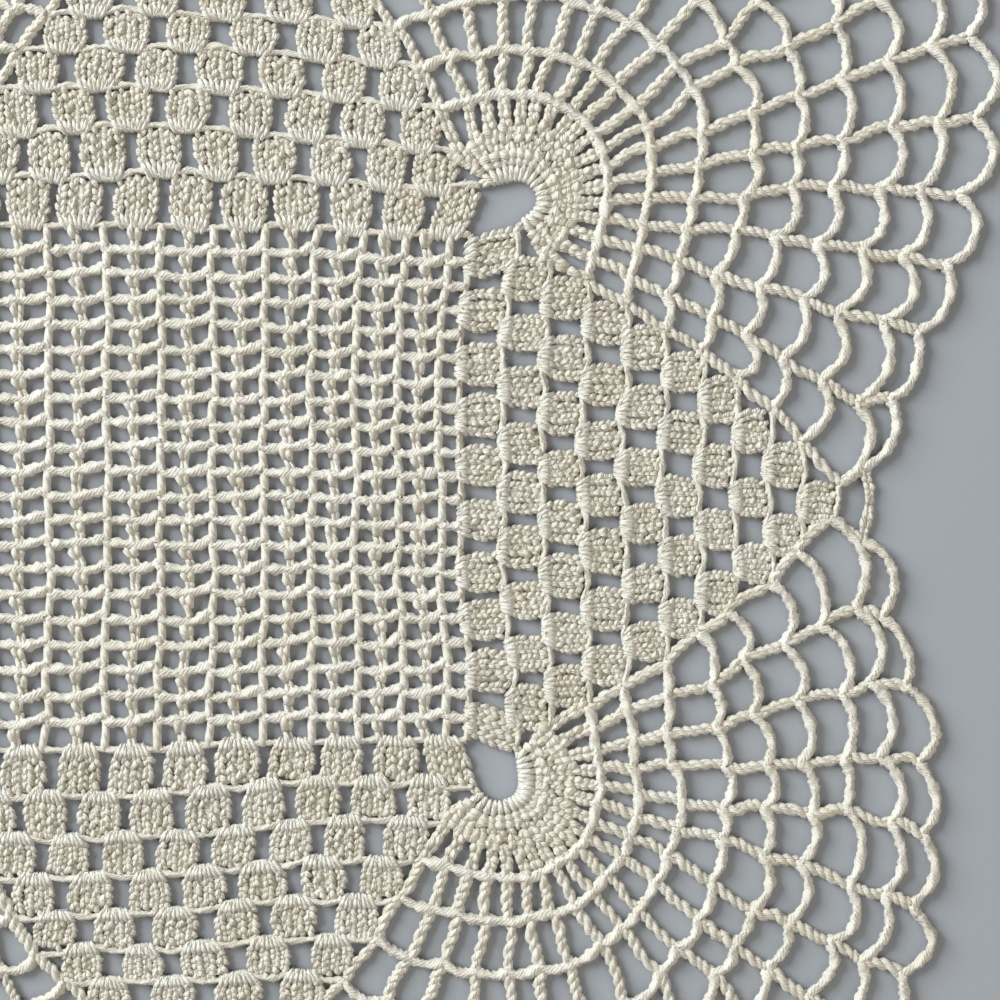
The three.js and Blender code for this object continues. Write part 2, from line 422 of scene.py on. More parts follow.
# %% Ropes
ROPE_RADIUS = 0.54
ROPE_THREAD = 0.68
ROPE_FLATNESS = 0.7
ROPE_TURN_LENGTH = 4.2
ROPE_POINTS_PER_TURN = 6
ROPE_MIDDLE = 0.85
ROPE_RISE = 0.15
ROPE_SPREAD = 0.08
TWIST_UNEVENNESS = 0.6


def rope_steps(length):
    """Points along a rope of a given length: so many for each turn, and one more."""
    return round(length / ROPE_TURN_LENGTH * ROPE_POINTS_PER_TURN) + 1


def ropes(paths, length, size, tone):
    """Pairs of threads twisted about flat paths: each point moves aside by a cosine and up by a sine
    of an angle that grows along the path, unevenly by one slow wave and half as much by a wave of twice
    the pace, half a turn apart in the two threads. The rope sinks at its ends, under the chains that it
    joins; size scales it along its length."""
    share = np.linspace(0.0, 1.0, paths.shape[1])
    start = hand.uniform(0.0, math.tau, (3, len(paths), 1))
    angle = start[0] + math.tau * share * length / ROPE_TURN_LENGTH
    angle = angle + TWIST_UNEVENNESS * np.sin(math.tau * share + start[1])
    angle = angle + TWIST_UNEVENNESS / 2 * np.sin(2 * math.tau * share + start[2])
    angle = np.concatenate([angle, angle + math.pi])
    paths = np.concatenate([paths, paths])
    size = size * (1.0 + ROPE_SPREAD * hand.normal(size=(len(paths), 1)))
    sideways = unit(turned(np.gradient(paths, axis=1), 1))
    aside = size * ROPE_RADIUS * np.cos(angle)
    level = ROPE_MIDDLE + ROPE_RISE * np.sin(math.pi * share)
    level = level + ROPE_FLATNESS * size * ROPE_RADIUS * np.sin(angle)
    level = np.clip(level, size * ROPE_THREAD, HIGHEST - size * ROPE_THREAD)
    threads = np.concatenate([paths + aside[..., None] * sideways, level[..., None]], axis=-1)
    return sweep(threads, UPWARDS, tones(tone, len(threads)), size * ROPE_THREAD)


print("points along a rope of 10 mm:", rope_steps(10.0))

# %% Cords
CORD_TURN_LENGTH = 9.5
CORD_POINTS_PER_TURN = 16
CORD_RADIUS = 0.85
CORD_ASPECT = 1.35
CORD_MIDDLE = 1.1
CORD_SPREAD = 0.08
CORD_WAVE = 3.0


def cord_steps(length):
    """Points along a cord of a given length: so many for each turn, and one more."""
    return round(length / CORD_TURN_LENGTH * CORD_POINTS_PER_TURN) + 1


def cords(paths, length, size, tone):
    """Twisted cords along flat paths: one thread each, wider one way than the other, whose wide way
    turns about the path by an angle that grows along it, plus a sine of the run divided by the wave's
    length, so that the cord's edges wander."""
    share = np.linspace(0.0, 1.0, paths.shape[1])
    start = hand.uniform(0.0, math.tau, (2, len(paths), 1))
    angle = start[0] + math.tau * share * length / CORD_TURN_LENGTH
    angle = (angle + TWIST_UNEVENNESS * np.sin(length / CORD_WAVE * share + start[1]))[..., None]
    sideways = unit(turned(np.gradient(paths, axis=1), 1))
    reference = np.concatenate([np.cos(angle) * sideways, np.sin(angle)], axis=-1)
    radius = size * CORD_RADIUS * (1.0 + CORD_SPREAD * hand.normal(size=paths.shape[:2]))
    threads = np.concatenate([paths, np.full((*paths.shape[:2], 1), CORD_MIDDLE)], axis=-1)
    return sweep(threads, reference, tones(tone, len(threads)), radius, CORD_ASPECT)


print("points along a cord of 100 mm:", cord_steps(100.0))

# %% One chain
CHAIN_STITCH = 1.5
# chains are whiter than the posts: a painted highlight for the light on their flanks
CHAIN_HIGHLIGHT_TONE = 0.6
CHAIN_ROLL = 0.25
PATH_POINTS_PER_STITCH = 4


def even_path(points, count):
    """Flat points joined by straight lines and spaced again at equal steps along them. Columns after
    the first two are carried along."""
    run = np.concatenate([[0.0], np.linalg.norm(np.diff(points[:, :2], axis=0), axis=1).cumsum()])
    share = np.linspace(0.0, run[-1], count)
    return np.stack([np.interp(share, run, column) for column in points.T], axis=-1)


def path_length(points):
    """Length of a flat path: the sum of the steps between its points."""
    return float(np.linalg.norm(np.diff(points, axis=0), axis=1).sum())


def chain(points, size):
    """One chain along flat points, with as many stitches as fit."""
    stitches = round(path_length(points) / CHAIN_STITCH)
    path = even_path(points, stitches * PATH_POINTS_PER_STITCH + 1)
    return plaits(path[None], stitches, CHAIN_LUMP, BOTH_SIDES, CHAIN_HIGHLIGHT_TONE, size, CHAIN_ROLL)


print("stitches in a chain of 100 mm:", round(100.0 / CHAIN_STITCH))

# %% [markdown]
# ## The filet net
# The square in the middle is an even net, one post and a short chain to each mesh. On the real doily
# its bars crowd together towards one side. Every second column is a smooth bar, and each chain, drawn
# tight to a cord, climbs up that bar's left side and starts again lower on its right; the columns
# between are knotted just under each chain. The bars' places come from one quadratic formula and the
# climb from a cubic. A lattice of straight bars would be simpler, but would look like wire.

# %% Net rows
NET_COLUMNS = 20
NET_ROWS = 21
NET_HALF = 51.0
NET_SHIFT_X = 4.9
NET_SHIFT_Y = 1.0
NET_SINK = 0.7
NET_CLIMB = 1.3
NET_ROW_SIZE = 1.14
POINTS_PER_MESH = 20
net_columns = np.arange(-NET_COLUMNS // 2 + 1, NET_COLUMNS // 2)
net_lines = np.arange(1, NET_ROWS)


def net_x(column):
    """Place of a bar: its share of the half width, shifted most in the middle of the net."""
    share = column / (NET_COLUMNS / 2)
    return NET_HALF * share + NET_SHIFT_X * (1 - share**2)


def net_y(line):
    """Place of a row counted from the front, shifted a little in the middle of the net."""
    share = 2 * line / NET_ROWS - 1
    return NET_HALF * share + NET_SHIFT_Y * (1 - share**2)


def net_row_paths():
    """A path for each row: from one smooth column to the next it sinks a little and then climbs, as
    a cubic of its share of the way, and drops back at the bar."""
    column = np.linspace(-NET_COLUMNS / 2, NET_COLUMNS / 2, POINTS_PER_MESH * NET_COLUMNS + 1)
    share = (column + 1) / 2 % 1.0
    climb = NET_CLIMB * ((1 + NET_SINK) * share**3 - NET_SINK * share)
    row = np.stack([net_x(column), climb], axis=-1)
    row = even_path(row, cord_steps(path_length(row)))
    rows = np.broadcast_to(row, (len(net_lines), *row.shape)).copy()
    rows[..., 1] += net_y(net_lines)[:, None]
    return rows


row_paths = net_row_paths()
row_length = path_length(row_paths[0])
# the net rows' whiter chain tone is a painted highlight
net_rows = cords(row_paths, row_length, NET_ROW_SIZE, CHAIN_HIGHLIGHT_TONE)
print("net rows:", len(row_paths), "cords of", round(row_length, 1), "mm")

# %% Net posts
BAR_TONE = 0.5
BAR_STEPS = 4
BAR_RADIUS = 0.88
BAR_RADIUS_SPREAD = 0.05
BAR_MIDDLE = 1.05
BAR_OVERLAP = 0.06
KNOT_TONE = 0.5
KNOT_STITCHES = 2
KNOT_SIZES = np.array([1.02, 1.38])
KNOT_ROLL = 0.3
KNOT_ROLL_SPREAD = 0.3
KNOT_LIFT = 0.1
KNOT_FOOT = -0.05
KNOT_HEAD = 0.98
# aside in mm of a knotted post from its foot to its knot
KNOT_ASIDE = np.array([0.15, 0.30, 0.35, 0.25, 0.0, -0.25, -0.35, -0.3, -0.15])
POST_SPREAD = 0.12


def net_posts(columns, share, aside):
    """Flat paths of the posts in some columns, one for each mesh up the net: shares of the way from
    one row to the next, moved aside, and each post shifted and tilted a little."""
    column, line = np.meshgrid(columns, np.arange(NET_ROWS), indexing="ij")
    shift, tilt = POST_SPREAD * hand.normal(size=(2, column.size, 1))
    x = net_x(column).reshape(-1, 1) + aside + shift + tilt * (2 * share - 1)
    y = net_y(line.reshape(-1, 1) + share)
    return np.stack([x, y], axis=-1)


bar_share = np.linspace(-BAR_OVERLAP, 1.0 + BAR_OVERLAP, BAR_STEPS)
bar_paths = net_posts(net_columns[net_columns % 2 == 1], bar_share, np.zeros(BAR_STEPS))
bar_radii = BAR_RADIUS + BAR_RADIUS_SPREAD * hand.normal(size=bar_paths.shape[:2])
bar_threads = np.concatenate([bar_paths, np.full((*bar_paths.shape[:2], 1), BAR_MIDDLE)], axis=-1)
net_bars = sweep(bar_threads, UPWARDS, tones(BAR_TONE, len(bar_threads)), bar_radii)

knot_share = np.linspace(KNOT_FOOT, KNOT_HEAD, len(KNOT_ASIDE))
knot_paths = net_posts(net_columns[net_columns % 2 == 0], knot_share, KNOT_ASIDE)
net_knots = plaits(
    knot_paths,
    KNOT_STITCHES,
    CHAIN_LUMP,
    BOTH_SIDES,
    KNOT_TONE,
    KNOT_SIZES,
    roll=KNOT_ROLL,
    roll_spread=KNOT_ROLL_SPREAD,
    lift=KNOT_LIFT,
)

filet_net = thread_piece("filet_net", [net_rows, net_bars, net_knots])

# %% [markdown]
# ## The block triangles
# Each side of the net carries ten rows of blocks, and each row has one block less than the row
# before. A block is a cluster of trebles worked into one chain space, so it is pinched at the foot,
# flares at once and ends nearly square. Smooth wraps grip the chain at the foot and sink between the
# trebles, which lie so close that only their lumps show; the threads behind them are one flat band for
# each block. A smooth pad for a block would be simpler, but it would lose the stitches. Every block gets
# a shift, a lean and a swelling of its own, and each treble starts its lumps out of step with the next,
# so that they never line up.

# %% Trebles in a row
TREBLE_TONE = 0.45
TREBLE_STEPS = 9
TREBLE_ROLL_SPREAD = 0.3
# the bands are creamier than the trebles: painted shade for the gaps between the trebles, where the bands
# show
BACKING_SHADE_TONE = 0.25
BACKING_STEPS = 4
BACKING_MIDDLE = 0.78
BACKING_MARGIN = 0.4
BACKING_FLATNESS = 0.06
# the wraps are whiter than the trebles: a painted highlight for the light that catches their edges
WRAP_HIGHLIGHT_TONE = 0.7
# along and height in mm from the middle of the chain that is gripped, and radius of the wrap's thread
WRAP = np.array(
    [
        (-0.80, 0.55, 0.42),
        (-0.60, 1.35, 0.45),
        (0.80, 1.60, 0.54),
        (2.10, 1.00, 0.48),
    ]
)


def treble_paths(feet, tops, flare, share):
    """Flat paths from feet to tops: straight lines, plus the flare times a curve that rises fast, as one
    less the cube of what is left of the way, and is back at nought by the top."""
    curve = 1 - (1 - share) ** 3 - share
    return feet[:, None] + share[..., None] * (tops - feet)[:, None] + curve[..., None] * flare[:, None]


def wraps(feet, tops, flare, asides, length, thickness):
    """Threads that grip the chain at each foot, at some distances aside of it, which widen as the thread
    does; the length stretches their upper part, and the thickness widens them without raising their top."""
    along, height, own_radius = WRAP.T
    reach = np.linalg.norm(tops - feet, axis=1)[:, None]
    grips = treble_paths(feet, tops, flare, np.where(along > 0, length, 1.0) * along / reach)
    sideways = turned(unit(tops - feet), 1)
    radius = thickness * own_radius
    level = np.broadcast_to((height + own_radius - radius)[:, None], (*grips.shape[:2], 1))
    widening = (own_radius / own_radius[0])[:, None]
    flat = [grips + aside * widening * sideways[:, None] for aside in asides]
    threads = np.concatenate([np.concatenate([points, level], axis=-1) for points in flat])
    reference = np.concatenate([sideways, np.zeros((len(feet), 1))], axis=-1)
    reference = np.tile(reference, (len(asides), 1))[:, None]
    # the wraps' whiter tone is a painted highlight
    return sweep(threads, reference, tones(WRAP_HIGHLIGHT_TONE, len(threads)), radius)


def treble_bodies(feet, tops, flare, start, steps):
    """Flat paths of trebles from a start beyond their feet to their tops."""
    reach = np.linalg.norm(tops - feet, axis=1)[:, None]
    share = np.linspace(0.0, 1.0, steps)[None]
    return treble_paths(feet, tops, flare, (start + share * (reach - start)) / reach)


def trebles(feet, tops, flare, start, stitches, lump, sides, sizes, stagger):
    """Lumps of trebles, which change their size from the start to the tops; a size may be one for all
    trebles or one for each."""
    paths = treble_bodies(feet, tops, flare, start, TREBLE_STEPS)
    size = np.linspace(*sizes, stitches, axis=-1)
    return plaits(
        paths, stitches, lump, sides, TREBLE_TONE, size, roll_spread=TREBLE_ROLL_SPREAD, stagger=stagger
    )


def backing(feet, tops, flare, start, members):
    """A flat band under each group of so many neighbouring trebles, from the first of them to the last
    and a margin more, so that no light falls between them."""
    paths = treble_bodies(feet, tops, flare, start, BACKING_STEPS).reshape(-1, members, BACKING_STEPS, 2)
    first, last = paths[:, 0], paths[:, -1]
    half_width = np.linalg.norm(last - first, axis=-1) / 2 + BACKING_MARGIN
    middle = (first + last) / 2
    bands = np.concatenate([middle, np.full((*middle.shape[:2], 1), BACKING_MIDDLE)], axis=-1)
    # the bands' creamy tone is painted shade
    return sweep(bands, UPWARDS, tones(BACKING_SHADE_TONE, len(bands)), half_width, BACKING_FLATNESS)


print("reach of a wrap over its chain:", round(float(np.ptp(WRAP[:, 0])), 2), "mm")

# %% Where the trebles of the blocks stand
TREBLES_PER_BLOCK = 4
FOOT_SPACING = 1.5
HEAD_SPACING = 1.92
BLOCK_FLARE = 1.4
BLOCK_SHIFT_SPREAD = 0.2
BLOCK_LEAN_SPREAD = 0.25
BLOCK_SWELL_SPREAD = 0.04
HEAD_SHORT = 0.1
HEAD_ROUNDING = 0.22
END_BLOCK_LEAN = 2.7
END_BLOCK_RISE = 1.8


def block_trebles(quarter):
    """Feet, tops and flares of all trebles on one side: rows of blocks along the side, and a fan of
    trebles in each block, closer at the foot than at the head, which is rounded by the square of the
    treble's place. The end blocks of the first row lean over to the eyelets, and that row rises to them
    by the fourth power of the way to its end."""
    row = np.concatenate([np.full(BLOCK_ROWS + 1 - k, k) for k in range(1, BLOCK_ROWS + 1)])
    place = np.concatenate([np.arange(n) - (n - 1) / 2 for n in range(BLOCK_ROWS, 0, -1)])
    middle = place * block_pitch(row) + BLOCK_SHIFT_SPREAD * hand.normal(size=row.shape)
    lean = np.where((row == 1) & (np.abs(place) > BLOCK_ROWS / 2 - 1), END_BLOCK_LEAN, 0.0)
    lean = lean * np.sign(place) + BLOCK_LEAN_SPREAD * hand.normal(size=row.shape)
    swell = 1.0 + BLOCK_SWELL_SPREAD * hand.normal(size=row.shape)
    member = np.arange(TREBLES_PER_BLOCK) - (TREBLES_PER_BLOCK - 1) / 2
    spread = swell[:, None] * member
    foot_across = (middle - lean / 2)[:, None] + FOOT_SPACING * spread
    head_across = (middle + lean / 2)[:, None] + HEAD_SPACING * spread
    foot_out = np.broadcast_to(row_edge(row - 1)[:, None], spread.shape)
    rise = np.where(row == 1, END_BLOCK_RISE, 0.0)[:, None] * (head_across / row_half_length(1)) ** 4
    head_out = row_edge(row)[:, None] + rise - HEAD_SHORT - HEAD_ROUNDING * spread**2
    feet = np.stack([foot_out, foot_across], axis=-1).reshape(-1, 2)
    tops = np.stack([head_out, head_across], axis=-1).reshape(-1, 2)
    flare = np.stack([np.zeros(spread.shape), BLOCK_FLARE * spread], axis=-1).reshape(-1, 2)
    return turned(feet, quarter), turned(tops, quarter), turned(flare, quarter)


print("blocks on each side:", BLOCK_ROWS * (BLOCK_ROWS + 1) // 2)

# %% Threads of the blocks
BLOCK_START = 1.1
BLOCK_STITCHES = 5
BLOCK_SIZES = (1.02, 1.07)
BLOCK_STAGGER = 0.5
BLOCK_WRAPS = (-0.38, 0.38)
BLOCK_WRAP_LENGTH = 0.8
BLOCK_WRAP_THICKNESS = 1.08


def block_threads(quarter):
    """All threads of one side's blocks: the wraps at the feet, the trebles' lumps and the flat bands."""
    places = block_trebles(quarter)
    grips = wraps(*places, BLOCK_WRAPS, BLOCK_WRAP_LENGTH, BLOCK_WRAP_THICKNESS)
    lumps = trebles(
        *places, BLOCK_START, BLOCK_STITCHES, TREBLE_LUMP, BOTH_SIDES, BLOCK_SIZES, BLOCK_STAGGER
    )
    bands = backing(*places, BLOCK_START, TREBLES_PER_BLOCK)
    return [grips, lumps, bands]


side_blocks = [block_threads(quarter) for quarter in range(QUARTERS)]
print("points in the blocks of a side:", sum(len(bundle["points"]) for bundle in side_blocks[0]))

# %% [markdown]
# ## The corner fans
# Each corner starts as an eyelet, a ring of chain. The first round over it is a solid ring of trebles
# that thicken outwards, and the second leaves narrow slits. From there each rope-like treble stands on
# the one below, with more chain between them at every round, so the cells grow and the chain bows out
# in scallops. Posts and chains both use the same table of crossings, so they meet whatever the hand's
# unevenness. The chains are drawn tight to cords, as in the net, and each round runs on along a side's
# blocks, so the blocks and the fan after them are one piece. Chains made stitch by stitch would be
# truer, but need about twice the faces, so only the rims and the chains over the valleys between two
# fans are made so.

# %% Rims of the eyelets and chains of the block rows
RIM_SIZE = 0.9
RIM_POINTS = 60
ROW_POINTS = 60
ROW_CHAIN_SIZE = 0.72
ROW_CROWN = 0.45
VALLEY_CROWN = 1.0
VALLEY_CHAIN_SIZE = 1.08


def rim(quarter):
    """The eyelet's ring: its reach at each heading from the end of one side's first row round to the
    next side's."""
    across = row_half_length(1) - EYELET_OFFSET
    end = math.atan2(across, row_edge(1) + END_BLOCK_RISE - EYELET_OFFSET)
    heading = np.linspace(end, math.pi / 2 - end, RIM_POINTS)
    *_, long_heading = FAN_STRETCHES[quarter]
    reach = eyelet_reach(heading, long_heading)[:, None]
    ring = EYELET_OFFSET + reach * np.stack([np.cos(heading), np.sin(heading)], axis=-1)
    return turned(ring, quarter)


def row_ends(row, quarter):
    """Where a row's chain joins the fans before and after it: at their rims or at their side posts."""
    before = (quarter - 1) % QUARTERS
    if row == 1:
        return rim(before)[-1], rim(quarter)[0]
    return crossings[before, row - 1, -1], crossings[quarter, row - 1, 0]


def row_chain(row, quarter):
    """The chain along a row's outer edge, bowed over each block by a cosine and bent to the fans by the
    fourth power of the way to its ends. Row 0 is the straight edge of the net. The blocks draw the chain
    tight to a cord; over the valley between two fans it is an open chain, bowed by a square."""
    half = row_half_length(row) if row else NET_HALF
    across = np.linspace(-half, half, ROW_POINTS)
    blocks = BLOCK_ROWS + 1 - row
    crown = ROW_CROWN * np.cos(math.tau * (across / block_pitch(row) + (blocks - 1) / 2))
    if row == 0:
        crown = np.zeros_like(across)
    if row > BLOCK_ROWS:
        crown = VALLEY_CROWN * (1.0 - (across / half) ** 2)
    points = turned(np.stack([row_edge(row) + crown, across], axis=-1), quarter)
    if row > 0:
        first, last = row_ends(row, quarter)
        share = ((across + half) / (2 * half))[:, None]
        nearness = np.abs(2 * share - 1) ** 4
        line = first + share * (last - first)
        chord = points[0] + share * (points[-1] - points[0])
        points = points + nearness * (line - chord)
    if row > BLOCK_ROWS:
        return chain(points, VALLEY_CHAIN_SIZE)
    length = path_length(points)
    return cords(even_path(points, cord_steps(length))[None], length, ROW_CHAIN_SIZE, TREBLE_TONE)


print("rims of the eyelets in mm:", [round(path_length(rim(quarter)), 1) for quarter in range(QUARTERS)])

# %% Solid rounds over the eyelet
RING_START = 0.8
RING_INNER_SHARE = 0.5
RING_HALF_STITCHES = 3
RING_FULLNESS = 1.16
RING_SINGLE_FULLNESS = 1.2
RING_STAGGER = 0.15
RING_GROUP = 3
RING_WRAPS = (0.0,)
RING_WRAP_LENGTH = 1.0
RING_WRAP_THICKNESS = 1.28
SLIT_STITCHES = 4
SLIT_SIZES = (1.36, 1.3)


def solid_rounds(quarter):
    """The ring of close trebles, with single lumps near the rim and pairs farther out, as wide as the
    spacing of the crossings allows, and the round of slits on it."""
    first, second, third = crossings[quarter, :3]
    middle = first + RING_INNER_SHARE * (second - first)
    still = np.zeros_like(first)
    spacings = [np.linalg.norm(np.gradient(knots, axis=0), axis=1) for knots in (first, middle, second)]
    inner, halfway, outer = [RING_FULLNESS / 2 * spacing for spacing in spacings]
    grips = wraps(first, second, still, RING_WRAPS, RING_WRAP_LENGTH, RING_WRAP_THICKNESS)
    sizes = RING_SINGLE_FULLNESS * inner, RING_SINGLE_FULLNESS * halfway
    singles = trebles(
        first, middle, still, RING_START, RING_HALF_STITCHES, SINGLE_LUMP, ONE_SIDE, sizes, RING_STAGGER
    )
    sizes = halfway, outer
    pairs = trebles(
        middle, second, still, 0.0, RING_HALF_STITCHES, TREBLE_LUMP, BOTH_SIDES, sizes, RING_STAGGER
    )
    bands = backing(first, second, still, RING_START, RING_GROUP)
    slits = trebles(
        second, third, still, 0.0, SLIT_STITCHES, CHAIN_LUMP, BOTH_SIDES, SLIT_SIZES, RING_STAGGER
    )
    return [grips, singles, pairs, bands, slits]


ring_spacing = np.linalg.norm(np.diff(crossings[:, 1], axis=1), axis=-1).mean()
print("mean spacing of the trebles' heads in a ring:", round(float(ring_spacing), 2), "mm")

# %% Open rounds
# bow of the arcs as a share of their chord, and size of their cord, from round 3 outwards
ARC_BOW = (0.0, 0.05, 0.12, 0.19, 0.23, 0.25, 0.25, 0.25, 0.25)
ARC_SIZE = (1.18, 1.12, 1.08, 1.06, 1.04, 1.04, 1.04, 1.04, 1.04)
ARC_BOW_SPREAD = 0.2
ARC_SQUARENESS = 2.4
ARC_SWELL = 0.22
ARC_POINTS = 16
POST_TONE = 0.42
POST_SWAY = 0.35
POST_DOUBLE_SWAY = 0.6
POST_FOOT_SIZE = 1.12
POST_HEAD_SIZE = 1.04


def arcs(knots, bow, size, spread=ARC_BOW_SPREAD):
    """Points and sizes of chain arcs between neighbouring crossings: chords that bow outwards, each by
    its own share of the chord, by one less a power of the distance from their middle, and swell by the
    fourth power of the way to where they end at a post."""
    chords = np.diff(knots, axis=0)
    share = np.arange(ARC_POINTS)[None, :, None] / ARC_POINTS
    outward = turned(chords, 3)
    rise = bow * (1.0 + spread * hand.normal(size=(len(chords), 1, 1)))
    curve = 1.0 - np.abs(2 * share - 1) ** ARC_SQUARENESS
    points = knots[:-1, None] + share * chords[:, None] + rise * curve * outward[:, None]
    sizes = size + ARC_SWELL * np.tile(share.reshape(-1), len(chords)) ** 4
    return np.concatenate([points.reshape(-1, 2), knots[-1:]]), np.append(sizes, size)


def arc_round(knots, bow, size):
    """A whole round of arcs, drawn tight to one cord."""
    points, sizes = arcs(knots, bow, size)
    length = path_length(points)
    path = even_path(np.column_stack([points, sizes]), cord_steps(length))[None]
    # the arcs' whiter chain tone is a painted highlight
    return cords(path[..., :2], length, path[..., 2], CHAIN_HIGHLIGHT_TONE)


def rope_posts(feet, tops):
    """Rope-like trebles from feet to tops, each swaying to one side and back by half a sine wave, and by
    a whole wave of a smaller amount."""
    length = float(np.linalg.norm(tops - feet, axis=1).mean())
    steps = rope_steps(length)
    share = np.linspace(0.0, 1.0, steps)[None, :, None]
    sideways = unit(turned(tops - feet, 1))[:, None]
    sway = POST_SWAY * hand.normal(size=(2, len(feet), 1, 1))
    offset = sway[0] * np.sin(math.pi * share) + POST_DOUBLE_SWAY * sway[1] * np.sin(math.tau * share)
    paths = feet[:, None] + share * (tops - feet)[:, None] + offset * sideways
    return ropes(paths, length, np.linspace(POST_FOOT_SIZE, POST_HEAD_SIZE, steps), POST_TONE)


post_heights = np.linalg.norm(np.diff(crossings, axis=1), axis=-1).mean(axis=(0, 2))
print("mean height of each round in mm:", [round(float(height), 1) for height in post_heights])

# %% Blocks and fan of each side
FIRST_ARC_ROUND = 3
SIDE_NAMES = ("right", "back", "left", "front")


def fan(quarter):
    """All threads of one corner: the rim, the solid rounds, then posts and arcs round by round, and
    the rows of chain along the side before it."""
    bundles = [chain(rim(quarter), RIM_SIZE)] + solid_rounds(quarter)
    for number, (bow, size) in enumerate(zip(ARC_BOW, ARC_SIZE), start=FIRST_ARC_ROUND):
        feet, tops = crossings[quarter, number - 2 : number]
        if number > FIRST_ARC_ROUND:
            bundles.append(rope_posts(feet, tops))
        bundles.append(arc_round(tops, bow, size))
    return bundles + [row_chain(row, quarter) for row in range(LAST_ROUND + 1)]


side_pieces = [
    thread_piece(f"blocks_and_fan_{name}", side_blocks[quarter] + fan(quarter))
    for quarter, name in enumerate(SIDE_NAMES)
]

# %% [markdown]
# ## Cotton
# The thread is matt ivory cotton of a few twisted plies. One Principled material serves the whole
# doily: the tone attribute mixes a creamy and a whiter ivory, a slow noise adds the unevenness of
# washed cotton, and the UV map, which runs along each thread, gives the slanting grooves of the plies
# and of the finer strands in them. Besides each thread's own tone, the tone attribute carries painted
# light: painted shade in the lumps' creases and on the bands behind the trebles, and a painted highlight
# on the lumps' crests, the wraps and the chains. A picture of yarn would stretch on the short lumps, and
# the grooves don't, because they count millimetres of thread.

# %% Cotton material
PLIES = 3.0
PLY_TWIST = 2.4
STRANDS = 7.0
STRAND_TWIST = 0.55
STRAND_DEPTH = 0.35
FIBRE_SCALE = 2600.0
FIBRE_DETAIL = 2.0
FIBRE_DEPTH = 0.8
WASH_SCALE = 60.0
WASH_DETAIL = 3.0
WASH_DEPTH = 0.8
NOISE_MIDDLE = 0.5
LEAST_ROUGHNESS = 0.68
FIBRE_ROUGHNESS = 0.25
GLOSS = 0.25
SHEEN = 0.25
SHEEN_ROUGHNESS = 0.5
BUMP_STRENGTH = 0.8
BUMP_DEPTH = 0.14 * MM
CREAM = (0.66, 0.60, 0.47, 1.0)
WHITE = (0.82, 0.80, 0.73, 1.0)


def cotton():
    """Ivory cotton: tone and noise choose the colour, and the height is two sines of the angle round
    the thread plus the run along it, whose crests wind round as plies and their strands do."""
    material = bpy.data.materials.new("ivory_cotton")
    material.use_nodes = True
    nodes = material.node_tree.nodes
    links = material.node_tree.links
    shader = nodes["Principled BSDF"]
    shader.inputs["Specular IOR Level"].default_value = GLOSS
    shader.inputs["Sheen Weight"].default_value = SHEEN
    shader.inputs["Sheen Roughness"].default_value = SHEEN_ROUGHNESS

    def math_node(operation, first, second):
        """Result of an operation on two values, each a number or another node's output."""
        node = nodes.new("ShaderNodeMath")
        node.operation = operation
        for socket, value in zip(node.inputs, (first, second)):
            if isinstance(value, (int, float)):
                socket.default_value = value
            else:
                links.new(value, socket)
        return node.outputs[0]

    place = nodes.new("ShaderNodeTexCoord").outputs["Object"]

    def noise(scale, detail):
        """Noise over the object's own coordinates, of so many waves to the metre."""
        node = nodes.new("ShaderNodeTexNoise")
        node.inputs["Scale"].default_value = scale
        node.inputs["Detail"].default_value = detail
        links.new(place, node.inputs["Vector"])
        return node.outputs["Fac"]

    thread = nodes.new("ShaderNodeUVMap")
    thread.uv_map = "thread"
    parts = nodes.new("ShaderNodeSeparateXYZ")
    links.new(thread.outputs["UV"], parts.inputs[0])

    def grooves(count, twist):
        """Sine of the share of a turn round the thread times a count, plus the run over the twist."""
        around = math_node("MULTIPLY", parts.outputs["Y"], count)
        winding = math_node("ADD", around, math_node("DIVIDE", parts.outputs["X"], twist))
        return math_node("SINE", math_node("MULTIPLY", winding, math.tau), 0.0)

    fibre = noise(FIBRE_SCALE, FIBRE_DETAIL)
    strands = math_node("MULTIPLY", grooves(STRANDS, STRAND_TWIST), STRAND_DEPTH)
    twist = math_node("ADD", grooves(PLIES, PLY_TWIST), strands)
    height = math_node("ADD", twist, math_node("MULTIPLY", fibre, FIBRE_DEPTH))

    tone = nodes.new("ShaderNodeAttribute")
    tone.attribute_name = "tone"
    wash = math_node("SUBTRACT", noise(WASH_SCALE, WASH_DETAIL), NOISE_MIDDLE)
    washed = math_node("MULTIPLY", wash, WASH_DEPTH)
    mix = nodes.new("ShaderNodeMix")
    mix.data_type = "RGBA"
    mix.inputs["A"].default_value = CREAM
    mix.inputs["B"].default_value = WHITE
    links.new(math_node("ADD", tone.outputs["Fac"], washed), mix.inputs["Factor"])
    links.new(mix.outputs["Result"], shader.inputs["Base Color"])
    matt = math_node("ADD", math_node("MULTIPLY", fibre, FIBRE_ROUGHNESS), LEAST_ROUGHNESS)
    links.new(matt, shader.inputs["Roughness"])

    bump = nodes.new("ShaderNodeBump")
    bump.inputs["Strength"].default_value = BUMP_STRENGTH
    bump.inputs["Distance"].default_value = BUMP_DEPTH
    links.new(height, bump.inputs["Height"])
    links.new(bump.outputs["Normal"], shader.inputs["Normal"])
    return material


ivory_cotton = cotton()
print("material:", ivory_cotton.name)

# %% [markdown]
# ## Handing the pieces to the frame
# The threads of all pieces stand for the one flat solid of the model. Each piece lies flat. The net
# fills its box. A side's blocks and its fan fill only part of theirs, so their area is that of their two
# outlines, found by the shoelace sum, and of the outer half of the threads on the border.

# %% Pieces on the body
CHAIN_WIDTH = 2.0


def outline_area(points):
    """Area inside a ring of flat points: half the sum of the cross products of neighbours."""
    beside = np.roll(points, -1, axis=0)
    return 0.5 * abs(float((points[:, 0] * beside[:, 1] - points[:, 1] * beside[:, 0]).sum()))


